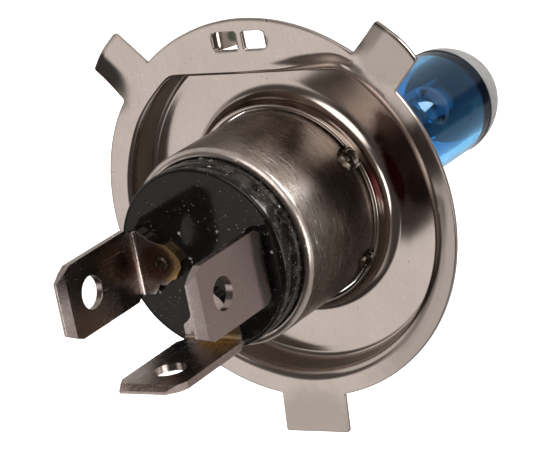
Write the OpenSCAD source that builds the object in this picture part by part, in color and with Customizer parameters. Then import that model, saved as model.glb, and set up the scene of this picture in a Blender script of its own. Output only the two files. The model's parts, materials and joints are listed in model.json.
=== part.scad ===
// Twin filament headlight bulb with a three lug focus ring.
// Millimetres. The lamp axis is Y: the glass points to +Y, the terminals to -Y.
// The origin is on the axis, in the seat plane of the ring (its glass side face).
// +Z points to the straight side of the dish, -Z to the wide lug.

/* [Focus ring] */
// Diameter of the round brim
ring_d = 43; // [42.2:0.1:44]
// Thickness of the ring sheet
sheet_t = 0.5; // [0.4:0.05:0.6]
// Outside diameter of the dish wall that drops into the reflector hole
dish_pilot_d = 38; // [37.4:0.1:38.4]
// Depth of the dish, seat plane to glass side of the floor
dish_depth = 3.95; // [3.2:0.05:4.6]
// Height of the straight wall above the axis, measured outside
dish_flat_h = 15.85; // [14.6:0.05:16.4]
// Bend radius from the brim into the dish wall
brim_bend_r = 0.8; // [0.5:0.05:0.8]
// Fillet radius between dish wall and floor
floor_fillet_r = 0.8; // [0.4:0.05:1.2]
// Distance from the axis to the end of the side lugs
side_lug_reach = 26.2; // [25:0.1:27]
// Width of the two side lugs
side_lug_w = 6; // [5:0.1:7]
// Angle of the side lugs above the horizontal
side_lug_angle = 45; // [40:0.5:50]
// Distance from the axis to the end of the wide lug
wide_lug_reach = 25.6; // [24.5:0.1:26.5]
// Width of the wide lug
wide_lug_w = 8; // [7:0.1:9]
// Corner radius of the lugs
lug_corner_r = 0.35; // [0.2:0.05:1.2]
// Height of the collar rim above the dish floor
collar_h = 2.45; // [2.2:0.05:3]
// Fillet radius between dish floor and collar
collar_fillet_r = 1.5; // [1:0.05:1.8]

/* [Punched windows] */
// Width of each window
window_w = 3; // [2.4:0.05:3.4]
// Height of each window
window_h = 2.05; // [1.6:0.05:2.3]
// Width of the web between the windows
window_web = 0.85; // [0.6:0.05:1.4]
// Height of the window centres above the axis
window_z = 19.1; // [18.8:0.05:19.3]
// Sideways position of the web
window_x = -0.55; // [-1:0.05:1]
// Angle of the bent tongues
tongue_angle = 62; // [45:1:80]

/* [Base sleeve] */
// Outside diameter of the sleeve
sleeve_d = 21.9; // [21.6:0.05:22]
// Wall of the sleeve
sleeve_wall = 0.4; // [0.3:0.05:0.5]
// Distance from the seat plane back to the crimped end
sleeve_rear = 12.4; // [11.6:0.1:13.2]
// Distance the sleeve runs past the seat plane
sleeve_front = 5; // [4.4:0.1:5.6]
// Radius of the crimped end
crimp_r = 0.75; // [0.6:0.05:0.9]

/* [Insulator] */
// Diameter of the boss that carries the terminals
boss_d = 20; // [19.6:0.05:20.2]
// Distance from the seat plane back to the boss face
boss_rear = 15.7; // [14.8:0.1:16.6]
// Depth of the shoulder held in the sleeve
shoulder_len = 5.5; // [4:0.1:6.5]

/* [Terminals] */
// Width of a blade
blade_w = 8; // [7.8:0.05:8.2]
// Thickness of a blade
blade_t = 0.8; // [0.7:0.02:0.9]
// Distance from the seat plane back to the blade tips
blade_tip = 30.4; // [29:0.1:33]
// Distance from the axis to the middle of the two upright blades
side_blade_x = 8; // [7.8:0.05:8.4]
// Distance from the axis to the middle of the level blade
low_blade_z = 8.7; // [8.3:0.05:8.8]
// Diameter of the detent holes
detent_d = 3.5; // [2.8:0.1:3.8]
// Distance from the blade tip to the detent hole
detent_setback = 5.3; // [5:0.1:7]
// Width lost on each side by the corner chamfer
tip_chamfer_w = 1.2; // [0.8:0.05:1.8]
// Length of the corner chamfer
tip_chamfer_len = 2.4; // [1.6:0.05:3]
// Length of the bevel at the tip
tip_bevel_len = 1.7; // [1:0.05:2.2]
// Width of the bend between blade and foot
foot_w = 7; // [6:0.1:7.6]
// Radius of the rounded end of the foot
foot_end_r = 2.2; // [1.8:0.05:2.6]

/* [Glass] */
// Outside diameter of the glass tube
glass_d = 12.7; // [12:0.1:13.4]
// Wall of the glass tube
glass_wall = 1.1; // [0.8:0.05:1.3]
// Distance from the seat plane to the start of the dome
dome_start = 37.6; // [36:0.1:39]
// Width of the pinched end
pinch_w = 11.6; // [11:0.1:12]
// Thickness of the pinched end
pinch_t = 3.8; // [3.4:0.1:4.2]
// Distance from the seat plane to the start of the tip coating
coat_start = 38.2; // [37.8:0.1:40]

/* [Filaments] */
// Middle of the low beam filament
low_fil_y = 31.3; // [30.8:0.1:31.6]
// Middle of the high beam filament
high_fil_y = 24.4; // [23.9:0.1:24.8]
// Turns in the low beam filament
low_fil_turns = 11; // [8:1:12]
// Turns in the high beam filament
high_fil_turns = 9; // [7:1:10]
// Diameter of the filament wire
fil_wire_d = 0.24; // [0.2:0.01:0.28]

/* [Hidden] */
$fn = 96;

pilot_r = dish_pilot_d / 2;
wall_r = pilot_r - sheet_t;             // inside of the dish wall
floor_y = dish_depth - sheet_t;         // terminal side of the dish floor
sleeve_r = sleeve_d / 2;
bore_r = sleeve_r + 0.1;                // bore of the collar round the sleeve
collar_r = bore_r + sheet_t;
bend_c = collar_r + collar_fillet_r;    // centre radius of the collar bend
boss_r = boss_d / 2;
lip_r = boss_r + 0.15;                  // free edge of the crimped lip
shoulder_r = sleeve_r - sleeve_wall - 0.05;
foot_bend_r = 0.5;                      // inside radius of the terminal bend
foot_run = 3.4;                         // blade middle to lead wire
tip_t = 0.3;                            // thickness left at the blade tip
glass_r = glass_d / 2;
bulb_r = glass_r - glass_wall;
shoulder_y = 17;                        // centre of the round shoulder of the glass
pinch_start = 2;
dome_r = 9;                             // side arc of the dome
nose_r = 4.5;                           // nose of the dome
dome_in = dome_r - glass_r;             // the side arc is centred past the axis
nose_y = sqrt(pow(dome_r - nose_r, 2) - pow(dome_in, 2));
lead_d = 0.9;
support_d = 0.6;
lead_x = 3.2;                           // spacing of the three seals in the pinch
foil_len = 5;
foil_w = 2.2;
foil_t = 0.1;
foil_y = 4.6;
gap = 0.03;                             // room round anything sealed in glass
coil_r = 0.7;
coil_pitch = 0.48;
shield_r = 3.2;
shield_t = 0.3;
shield_y = 27.6;
shield_len = 7;
mast_x = 1.2;
mast_z = 3.35;                          // the mast touches the shield from outside
mast_turn = atan2(mast_z, mast_x - lead_x);
mast_out = norm([mast_z, mast_x - lead_x]);
leg_len = 0.9;
leg_gap = support_d / 2 + fil_wire_d / 2 + 0.01;
low_leg_angle = 210;
low_fil_rear = low_fil_y - low_fil_turns * coil_pitch / 2 - leg_len;
high_fil_rear = high_fil_y - high_fil_turns * coil_pitch / 2 - leg_len;
high_fil_front = high_fil_y + high_fil_turns * coil_pitch / 2 + leg_len - 0.2;
low_fil_front = low_fil_y + low_fil_turns * coil_pitch / 2 + leg_len - 0.4;
leg_x = coil_r * cos(low_leg_angle);
leg_z = coil_r * sin(low_leg_angle);
clamp_y = 3.6;
clamp_r = sleeve_r - sleeve_wall - 0.02;
weld_angles = [30, -33, 150, 213];

// ---- frames -------------------------------------------------------------

// Local z runs back towards the terminals, local y runs up.
module facing_back() rotate([90, 0, 0]) children();

// Local z runs forward towards the glass tip.
module facing_tip() rotate([-90, 0, 0]) children();

// Turns something built on the +X side about the lamp axis.
module turned(a) rotate([0, -a, 0]) children();

// Straight round bar between two points.
module bar(a, b, d) {
  v = b - a;
  translate(a)
    rotate([0, acos(v[2] / norm(v)), atan2(v[1], v[0])])
      cylinder(d = d, h = norm(v), $fn = 32);
}

function heading(a, b) = atan2(b[1] - a[1], b[0] - a[0]);
function turn(p, i) =
  let (t = heading(p[i], p[i + 1]) - heading(p[i - 1], p[i]))
  t > 180 ? t - 360 : t < -180 ? t + 360 : t;

// Wire bent through points of one plane, with a round elbow at each inner point.
// Points are [distance out from the start line, distance along the lamp].
// The elbows are a hair thicker and the straight runs reach into them.
module wire(p, d, r) {
  last = len(p) - 1;
  for (i = [0:last - 1]) {
    cut_a = i == 0 ? 0 : r * tan(abs(turn(p, i)) / 2) - 0.05;
    cut_b = i == last - 1 ? 0 : r * tan(abs(turn(p, i + 1)) / 2) - 0.05;
    translate([p[i][0], p[i][1], 0]) rotate([0, 0, heading(p[i], p[i + 1])])
      translate([cut_a, 0, 0]) rotate([0, 90, 0])
        cylinder(d = d, h = norm(p[i + 1] - p[i]) - cut_a - cut_b, $fn = 32);
  }
  for (i = [1:last - 1]) {
    t = turn(p, i);
    side = t > 0 ? 1 : -1;
    translate([p[i][0], p[i][1], 0]) rotate([0, 0, heading(p[i - 1], p[i])])
      translate([-r * tan(abs(t) / 2), side * r, 0])
        rotate([0, 0, t > 0 ? -90 : 90 + t])
          rotate_extrude(angle = abs(t), $fn = 96)
            translate([r, 0]) circle(d = d * 1.03, $fn = 32);
  }
}

// Low dome, flat side towards the glass.
module bead(r, h) {
  ball = (r * r + h * h) / (2 * h);
  facing_back() rotate_extrude($fn = 64) intersection() {
    translate([0, h - ball]) circle(r = ball, $fn = 96);
    square([r + 1, h + 1]);
  }
}

// ---- focus ring ---------------------------------------------------------

module lug(w, reach) {
  intersection() {
    union() {
      translate([-w / 2, 0]) square([w, reach - lug_corner_r]);
      translate([lug_corner_r - w / 2, 0]) square([w - 2 * lug_corner_r, reach + 1]);
      for (s = [-1, 1])
        translate([s * (w / 2 - lug_corner_r), reach - lug_corner_r - 0.12])
          circle(r = lug_corner_r, $fn = 48);
    }
    circle(r = reach, $fn = 180);
  }
}

module brim_outline() {
  circle(d = ring_d, $fn = 180);
  for (s = [-1, 1]) rotate(s * (90 - side_lug_angle)) lug(side_lug_w, side_lug_reach);
  rotate(180) lug(wide_lug_w, wide_lug_reach);
}

// Half section of the hollow of the dish, from x0 out to its wall at h.
module hollow_section(x0, h) {
  difference() {
    union() {
      translate([x0, -floor_y]) square([h - x0, floor_y + sheet_t + 1]);
      translate([h - 0.01, sheet_t - brim_bend_r])
        square([brim_bend_r + 0.01, brim_bend_r + 1]);
    }
    translate([h + brim_bend_r, sheet_t - brim_bend_r]) circle(r = brim_bend_r, $fn = 48);
    difference() {
      translate([h - floor_fillet_r, -floor_y - 0.01])
        square([floor_fillet_r + 0.01, floor_fillet_r + 0.01]);
      translate([h - floor_fillet_r, floor_fillet_r - floor_y])
        circle(r = floor_fillet_r, $fn = 48);
    }
  }
}

// Half section of the outside of the dish.
module body_section(x0, h) {
  r = floor_fillet_r + sheet_t;
  translate([x0, r - dish_depth]) square([h - x0, dish_depth - r + 0.2]);
  translate([x0, -dish_depth]) square([h - x0 - r, dish_depth + 0.2]);
  translate([h - r, r - dish_depth]) circle(r = r, $fn = 48);
}

module dish_body() {
  intersection() {
    rotate_extrude($fn = 180) body_section(0, pilot_r);
    rotate([0, 0, 90]) rotate([90, 0, 0])
      linear_extrude(60, center = true) body_section(-30, dish_flat_h);
  }
}

module dish_hollow() {
  intersection() {
    rotate_extrude($fn = 180) hollow_section(0, wall_r);
    rotate([0, 0, 90]) rotate([90, 0, 0])
      linear_extrude(60, center = true) hollow_section(-30, dish_flat_h - sheet_t);
  }
}

// Flanged hole in the dish floor: quarter bend and short straight wall.
module collar() {
  bend_y = collar_fillet_r - floor_y;
  rotate_extrude($fn = 180) {
    translate([bore_r, bend_y]) square([sheet_t, collar_h - collar_fillet_r]);
    intersection() {
      difference() {
        translate([bend_c, bend_y]) circle(r = collar_fillet_r + sheet_t, $fn = 96);
        translate([bend_c, bend_y]) circle(r = collar_fillet_r, $fn = 96);
      }
      translate([bore_r, -dish_depth]) square([bend_c - bore_r, bend_y + dish_depth]);
    }
    translate([bend_c - 0.01, -dish_depth]) square([0.4, sheet_t]);
  }
}

// Tongue of a window, bent towards the glass about its outer edge.
module tongue() {
  r = 0.35;
  translate([0, 0, -r]) rotate([90, 0, 0]) {
    rotate([0, 0, 90 - tongue_angle])
      rotate_extrude(angle = tongue_angle, $fn = 96)
        translate([r, -window_h / 2]) square([sheet_t, window_h]);
    rotate([0, 0, 90 - tongue_angle])
      translate([r, 0.05 - window_w * 0.8, -window_h / 2])
        cube([sheet_t, window_w * 0.8 - 0.05, window_h]);
  }
}

module windows() {
  for (s = [-1, 1])
    translate([window_x + s * (window_web + window_w) / 2, window_z, 0])
      linear_extrude(4, center = true)
        square([window_w, window_h], center = true);
}

module tongues() {
  for (s = [0, 1])
    translate([window_x, window_z, 0]) mirror([s, 0, 0])
      translate([-window_web / 2 - window_w, 0, 0]) tongue();
}

module focus_ring() color([0.72, 0.67, 0.62])
facing_back() {
  difference() {
    union() {
      linear_extrude(sheet_t) brim_outline();
      dish_body();
    }
    dish_hollow();
    translate([0, 0, -dish_depth - 1]) cylinder(r = bend_c, h = 3, $fn = 180);
    windows();
    // small nick at the top of the brim edge
    rotate(80) translate([ring_d / 2, 0, 0]) cylinder(r = 0.35, h = 4, center = true, $fn = 24);
  }
  collar();
  tongues();
}

// Spot welds between collar rim and sleeve.
module ring_welds() color([0.35, 0.3, 0.25])
for (a = weld_angles)
  turned(a)
    difference() {
      intersection() {
        translate([sleeve_r - 0.1, floor_y - collar_h - 0.55, 0]) sphere(r = 0.95, $fn = 48);
        translate([0, floor_y - collar_h - 5, -5]) cube([30, 4.97, 10]);
      }
      facing_tip() cylinder(r = sleeve_r + 0.01, h = 60, center = true, $fn = 180);
    }

// ---- base ---------------------------------------------------------------

module base_sleeve() color([0.55, 0.5, 0.46])
facing_tip() rotate_extrude($fn = 180) {
  r = sleeve_r;
  translate([r - sleeve_wall, crimp_r - sleeve_rear])
    square([sleeve_wall, sleeve_rear + sleeve_front - crimp_r]);
  intersection() {
    difference() {
      translate([r - crimp_r, crimp_r - sleeve_rear]) circle(r = crimp_r, $fn = 64);
      translate([r - crimp_r, crimp_r - sleeve_rear])
        circle(r = crimp_r - sleeve_wall, $fn = 64);
    }
    translate([r - crimp_r, -sleeve_rear]) square([crimp_r, crimp_r]);
  }
  if (r - crimp_r > lip_r)
    translate([lip_r, -sleeve_rear]) square([r - crimp_r - lip_r + 0.01, sleeve_wall]);
}

module base_insulator() color([0.03, 0.03, 0.035])
difference() {
  facing_tip() rotate_extrude($fn = 180) {
    seat = sleeve_wall + 0.02 - sleeve_rear;
    // boss with a slightly broken edge
    polygon([[0, -boss_rear], [boss_r - 0.2, -boss_rear], [boss_r, 0.2 - boss_rear],
             [boss_r, seat + 1], [0, seat + 1]]);
    // shoulder under the crimp
    polygon([[0, seat], [shoulder_r - 0.5, seat], [shoulder_r, seat + 0.5],
             [shoulder_r, seat + shoulder_len], [0, seat + shoulder_len]]);
  }
  // passages for the three lead wires
  for (p = [[side_blade_x - foot_run, 0], [foot_run - side_blade_x, 0],
            [0, foot_run - low_blade_z]])
    translate([p[0], 0, p[1]]) facing_tip() cylinder(d = 1.6, h = 60, center = true, $fn = 48);
  // hollow underside
  facing_tip() translate([0, 0, 3.4 - sleeve_rear]) cylinder(r = 8.4, h = 20, $fn = 120);
}

// Terminal built on the +X side: blade, bend and foot.
module terminal(offset) {
  foot_y = -boss_rear - blade_t;         // terminal side of the foot
  in_x = offset - blade_t / 2;           // blade face towards the axis
  tip_y = -blade_tip;
  // blade, cut to plan and to edge profile
  difference() {
    intersection() {
      translate([offset - blade_t / 2, 0, 0]) rotate([90, 0, 90])
        linear_extrude(blade_t)
          polygon([[foot_y - foot_bend_r, foot_w / 2], [foot_y - 1.2, blade_w / 2],
                   [tip_y + tip_chamfer_len, blade_w / 2],
                   [tip_y, blade_w / 2 - tip_chamfer_w],
                   [tip_y, tip_chamfer_w - blade_w / 2],
                   [tip_y + tip_chamfer_len, -blade_w / 2],
                   [foot_y - 1.2, -blade_w / 2],
                   [foot_y - foot_bend_r, -foot_w / 2]]);
      translate([offset, 0, 0]) linear_extrude(blade_w + 2, center = true)
        polygon([[blade_t / 2, 0], [blade_t / 2, tip_y + tip_bevel_len],
                 [tip_t / 2, tip_y], [-tip_t / 2, tip_y],
                 [-blade_t / 2, tip_y + tip_bevel_len], [-blade_t / 2, 0]]);
    }
    translate([offset, tip_y + detent_setback, 0]) rotate([0, 90, 0])
      cylinder(d = detent_d, h = 4, center = true, $fn = 64);
  }
  // bend
  translate([in_x - foot_bend_r, foot_y - foot_bend_r, -foot_w / 2])
    rotate_extrude(angle = 90, $fn = 64)
      translate([foot_bend_r, 0]) square([blade_t, foot_w]);
  // foot, narrowing to a round end drilled for the lead wire
  translate([0, foot_y + blade_t, 0]) facing_back() linear_extrude(blade_t)
    difference() {
      union() {
        polygon([[in_x - foot_bend_r, foot_w / 2], [in_x - foot_bend_r - 0.9, foot_w / 2],
                 [in_x - foot_bend_r - 1.7, foot_end_r + 0.3],
                 [offset - foot_run, foot_end_r], [offset - foot_run, -foot_end_r],
                 [in_x - foot_bend_r - 1.7, -foot_end_r - 0.3],
                 [in_x - foot_bend_r - 0.9, -foot_w / 2], [in_x - foot_bend_r, -foot_w / 2]]);
        translate([offset - foot_run, 0]) circle(r = foot_end_r, $fn = 64);
      }
      translate([offset - foot_run, 0]) circle(d = lead_d + 0.06, $fn = 48);
    }
}

module blade_left() color([0.6, 0.5, 0.42]) turned(180) terminal(side_blade_x);
module blade_right() color([0.68, 0.6, 0.57]) terminal(side_blade_x);
module blade_low() color([0.68, 0.64, 0.6]) turned(270) terminal(low_blade_z);

// Weld beads on the three feet, over the ends of the lead wires.
module terminal_welds() color([0.5, 0.48, 0.45])
for (q = [[0, side_blade_x], [180, side_blade_x], [270, low_blade_z]])
  turned(q[0]) translate([q[1] - foot_run, -boss_rear - blade_t - 0.01, 0]) bead(0.85, 0.6);

// Sheet holder inside the sleeve that grips the pinched end of the glass.
module bulb_clamp() color([0.66, 0.62, 0.56])
difference() {
  union() {
    facing_tip() difference() {
      translate([0, 0, clamp_y - 3.6]) cylinder(r = clamp_r, h = 4, $fn = 180);
      translate([0, 0, clamp_y - 4]) cylinder(r = clamp_r - 0.4, h = 4, $fn = 180);
    }
    for (s = [-1, 1]) {
      translate([-3.2, clamp_y + 0.2, s * (pinch_t / 2 + 0.22) - 0.2]) cube([6.4, 4.4, 0.4]);
      translate([-3.2, clamp_y - 3.2, s * (pinch_t / 2 + 0.22) - 0.2]) cube([6.4, 3.4, 0.4]);
    }
  }
  translate([0, clamp_y, 0])
    cube([pinch_w + 0.1, 6, pinch_t + 0.04], center = true);
}

// Beads joining the holder to the inside of the sleeve.
module clamp_welds() color([0.4, 0.36, 0.32])
for (a = [45:90:315])
  turned(a) intersection() {
    translate([clamp_r - 0.1, clamp_y + 0.41, 0]) sphere(r = 0.6, $fn = 40);
    facing_tip() translate([0, 0, clamp_y + 0.41])
      cylinder(r = clamp_r, h = 3, $fn = 180);
  }

// ---- glass --------------------------------------------------------------

// Half section of the round part of the envelope, grown by g.
module bulb_section(r, arc, nose, base) {
  intersection() {
    union() {
      translate([0, shoulder_y]) square([r, dome_start - shoulder_y]);
      translate([0, shoulder_y]) circle(r = base, $fn = 120);
      // side arc of the dome, below the point where the nose takes over
      intersection() {
        translate([-dome_in, dome_start]) circle(r = arc, $fn = 180);
        translate([0, dome_start - 0.01]) square([r, nose_y * arc / (dome_r - nose_r)]);
      }
      translate([0, dome_start + nose_y]) circle(r = nose, $fn = 120);
    }
    translate([0, 0]) square([20, 80]);
  }
}

module bulb_body(g) facing_tip() rotate_extrude($fn = 180)
  bulb_section(glass_r + g, dome_r + g, nose_r + g, glass_r + g);

module pinch_body() {
  r = 0.8;
  facing_tip() translate([0, 0, pinch_start]) linear_extrude(13 - pinch_start) {
    square([pinch_w - 2 * r, pinch_t], center = true);
    square([pinch_w, pinch_t - 2 * r], center = true);
    for (sx = [-1, 1], sy = [-1, 1])
      translate([sx * (pinch_w / 2 - r), sy * (pinch_t / 2 - r)]) circle(r = r, $fn = 40);
  }
}

module seal(x) {
  // passage for the lead wire, pocket for the foil, passage for the support wire
  bar([x, pinch_start - 1, 0], [x, foil_y, 0], lead_d + 2 * gap);
  translate([x, foil_y + foil_len / 2, 0])
    cube([foil_w + 2 * gap, foil_len + 2 * gap, foil_t + 2 * gap], center = true);
  bar([x, foil_y + foil_len, 0], [x, 14, 0], support_d + 2 * gap);
}

module glass_envelope() color([0.25, 0.45, 0.75, 0.5])
difference() {
  union() {
    bulb_body(0);
    pinch_body();
  }
  bulb_body(-glass_wall);
  for (x = [-lead_x, 0, lead_x]) seal(x);
}

module tip_coating() color([0.8, 0.78, 0.76])
difference() {
  bulb_body(0.12);
  bulb_body(0.02);
  translate([-20, coat_start - 60, -20]) cube([40, 60, 40]);
}

// ---- inside the glass ---------------------------------------------------

// Coil along Y: each turn is a flat half ring and a leaning half ring.
module coil(turns) {
  lean = atan(coil_pitch / (2 * coil_r));
  for (k = [0:turns - 1]) translate([0, (k - turns / 2) * coil_pitch, 0]) {
    facing_tip() half_ring(coil_r);
    translate([0, coil_pitch / 2, 0]) rotate([0, 0, lean]) facing_tip()
      rotate([0, 0, 180]) half_ring(coil_r / cos(lean));
  }
}

module half_ring(r) rotate_extrude(angle = 180, $fn = 40)
  translate([r, 0]) circle(d = fil_wire_d, $fn = 16);

// Coil with a straight leg at each end, laid against the support wires.
module filament(y, turns) {
  half = turns * coil_pitch / 2;
  translate([0, y, 0]) {
    coil(turns);
    for (s = [-1, 1])
      bar([coil_r, s * (half - fil_wire_d / 2), 0], [coil_r, s * (half + leg_len), 0],
          fil_wire_d);
  }
}

module low_beam_filament() color([0.6, 0.6, 0.6])
turned(low_leg_angle) filament(low_fil_y, low_fil_turns);

module high_beam_filament() color([0.6, 0.6, 0.6])
turned(180) filament(high_fil_y, high_fil_turns);

// Scoop over the low beam filament, closed towards the tip, with the hook that
// holds the front leg of that filament.
module shield_cup() color([0.5, 0.5, 0.5]) {
  intersection() {
    facing_tip() rotate_extrude($fn = 120) intersection() {
      difference() {
        union() {
          translate([0, shield_y]) square([shield_r, shield_len]);
          translate([0, shield_y + shield_len]) circle(r = shield_r, $fn = 80);
        }
        translate([0, shield_y - 1]) square([shield_r - shield_t, shield_len + 1]);
        translate([0, shield_y + shield_len]) circle(r = shield_r - shield_t, $fn = 80);
      }
      translate([0, shield_y]) square([10, 20]);
    }
    translate([-10, 0, 0.5]) cube([20, 60, 20]);
  }
  bar([leg_x, low_fil_front, leg_z + 0.15], [-1.95, low_fil_front, 2.25], 0.3);
}

// Mast from the common seal, up and along over the shield, with the hook that
// holds the front leg of the high beam filament.
module common_support_wire() color([0.55, 0.55, 0.55]) {
  start = foil_y + foil_len + gap;
  translate([lead_x, 0, 0]) turned(mast_turn)
    wire([[0, start], [0, 16], [mast_out, 20.5], [mast_out, shield_y + shield_len]],
         support_d, 1.5);
  bar([-coil_r, high_fil_front, 0.15], [mast_x, high_fil_front, mast_z], 0.3);
}

// From the low beam seal, out past the high beam filament, to the rear leg.
module low_support_wire() color([0.55, 0.55, 0.55])
turned(low_leg_angle)
  wire([[0, foil_y + foil_len + gap], [0, 14.5], [3, 18.5], [3, low_fil_rear - 1.6],
        [coil_r + leg_gap, low_fil_rear - 0.6], [coil_r + leg_gap, low_fil_rear + 0.5]],
       support_d, 0.6);

module high_support_wire() color([0.55, 0.55, 0.55])
turned(180)
  wire([[lead_x, foil_y + foil_len + gap], [lead_x, 17.5],
        [coil_r + leg_gap, high_fil_rear - 0.6], [coil_r + leg_gap, high_fil_rear + 0.5]],
       support_d, 0.8);

// Spot of metal that joins the mast to the shield.
module shield_weld() color([0.45, 0.42, 0.4])
difference() {
  translate([mast_x, shield_y + 3, mast_z - 0.1]) sphere(r = 0.55, $fn = 48);
  facing_tip() cylinder(r = shield_r + 0.01, h = 60, $fn = 120);
  translate([mast_x, 10, mast_z]) facing_tip() cylinder(d = support_d + 0.02, h = 40, $fn = 32);
}

module foil(x) color([0.7, 0.7, 0.7])
  translate([x - foil_w / 2, foil_y, -foil_t / 2]) cube([foil_w, foil_len, foil_t]);

module foil_common() foil(lead_x);
module foil_low() foil(0);
module foil_high() foil(-lead_x);

// Lead wire from a terminal foot, through the insulator, to its foil.
// It lies in the plane turned by a; from and to are distances from the axis.
module lead(a, from, to) color([0.62, 0.58, 0.52])
turned(a)
  wire([[from, -boss_rear - blade_t], [from, -6.5], [to, -1.5], [to, foil_y - gap]], lead_d, 2);

module lead_common() lead(0, side_blade_x - foot_run, lead_x);
module lead_low() lead(270, low_blade_z - foot_run, 0);
module lead_high() lead(180, side_blade_x - foot_run, lead_x);

// ---- assembly -----------------------------------------------------------

focus_ring();
ring_welds();
base_sleeve();
base_insulator();
blade_left();
blade_right();
blade_low();
terminal_welds();
bulb_clamp();
clamp_welds();
glass_envelope();
tip_coating();
low_beam_filament();
high_beam_filament();
shield_cup();
common_support_wire();
low_support_wire();
high_support_wire();
shield_weld();
foil_common();
foil_low();
foil_high();
lead_common();
lead_low();
lead_high();
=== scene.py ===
import json
import math

import bmesh
import bpy
from mathutils import Matrix, Vector, noise
from mathutils.geometry import delaunay_2d_cdt


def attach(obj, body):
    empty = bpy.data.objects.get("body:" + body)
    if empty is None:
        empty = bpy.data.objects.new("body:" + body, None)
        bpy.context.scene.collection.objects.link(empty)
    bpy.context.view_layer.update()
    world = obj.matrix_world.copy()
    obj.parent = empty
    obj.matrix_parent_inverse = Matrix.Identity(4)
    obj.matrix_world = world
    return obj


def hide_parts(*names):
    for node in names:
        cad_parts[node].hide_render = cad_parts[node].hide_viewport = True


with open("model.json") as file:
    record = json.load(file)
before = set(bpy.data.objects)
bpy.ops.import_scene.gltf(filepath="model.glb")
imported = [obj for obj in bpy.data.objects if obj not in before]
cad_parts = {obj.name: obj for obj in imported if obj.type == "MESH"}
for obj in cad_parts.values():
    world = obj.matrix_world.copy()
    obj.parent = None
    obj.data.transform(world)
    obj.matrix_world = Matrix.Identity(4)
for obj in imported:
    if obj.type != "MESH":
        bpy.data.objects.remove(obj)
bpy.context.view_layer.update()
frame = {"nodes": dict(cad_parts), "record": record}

# The lamp is written in millimetres, about its axis Y, and scaled to metres when a mesh is made.
# The studio and the camera are written in metres.
MM = 0.001
scene = bpy.context.scene
ROUND = 11.0                     # coordinates that follow a turned surface count angle x 11 mm


# ---- small tools --------------------------------------------------------------

def smooth(x, a, b):
    """Eased step: 0 at x = a, 1 at x = b, whichever of the two is larger."""
    t = min(max((x - a) / (b - a), 0.0), 1.0)
    return t * t * (3 - 2 * t)


def smooth_min(a, b, k):
    """The smaller of two values, blended where they are within k of each other."""
    h = max(k - abs(a - b), 0.0) / k
    return min(a, b) - h * h * k / 4


def bump(x, centre, width):
    """Bell curve, 1 at its centre."""
    return math.exp(-((x - centre) / width) ** 2)


def wrap(a):
    """Angle brought into -pi to pi."""
    return (a + math.pi) % (2 * math.pi) - math.pi


def wobble(x, y, z, scale, seed):
    """Smooth unevenness between about -1 and 1, the same on every run."""
    return noise.noise(Vector((x * scale + seed, y * scale - seed, z * scale + 2 * seed)))


def grid_faces(rows, cols, close_rows=False):
    """Quads of a grid of points whose rows are closed loops; the last row may join the first."""
    faces = []
    for i in range(rows if close_rows else rows - 1):
        for j in range(cols):
            a, b = i * cols, ((i + 1) % rows) * cols
            k = (j + 1) % cols
            faces.append((a + j, a + k, b + k, b + j))
    return faces


def make_mesh(name, verts, faces, angle=40):
    me = bpy.data.meshes.new(name)
    me.from_pydata([(x * MM, y * MM, z * MM) for x, y, z in verts], [], faces)
    finish_mesh(me, angle)
    return me


def finish_mesh(me, angle):
    """Merges double points, turns the faces outwards and keeps edges over the angle sharp."""
    bm = bmesh.new()
    bm.from_mesh(me)
    bmesh.ops.remove_doubles(bm, verts=bm.verts, dist=1e-6)
    bmesh.ops.recalc_face_normals(bm, faces=bm.faces)
    bm.to_mesh(me)
    bm.free()
    me.shade_smooth()
    me.set_sharp_from_angle(angle=math.radians(angle))


def piece(name, me, slot, *nodes):
    """Object of the lamp, with its look, in place of the solids named last."""
    ob = bpy.data.objects.new(name, me)
    scene.collection.objects.link(ob)
    me.materials.clear()
    me.materials.append(looks[slot])
    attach(ob, "root")
    if nodes:
        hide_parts(*nodes)
    return ob


def merged(parts):
    """One set of points and faces from several."""
    verts, faces = [], []
    for v, f in parts:
        n = len(verts)
        verts += v
        faces += [tuple(i + n for i in face) for face in f]
    return verts, faces


# ---- node graphs --------------------------------------------------------------

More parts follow.
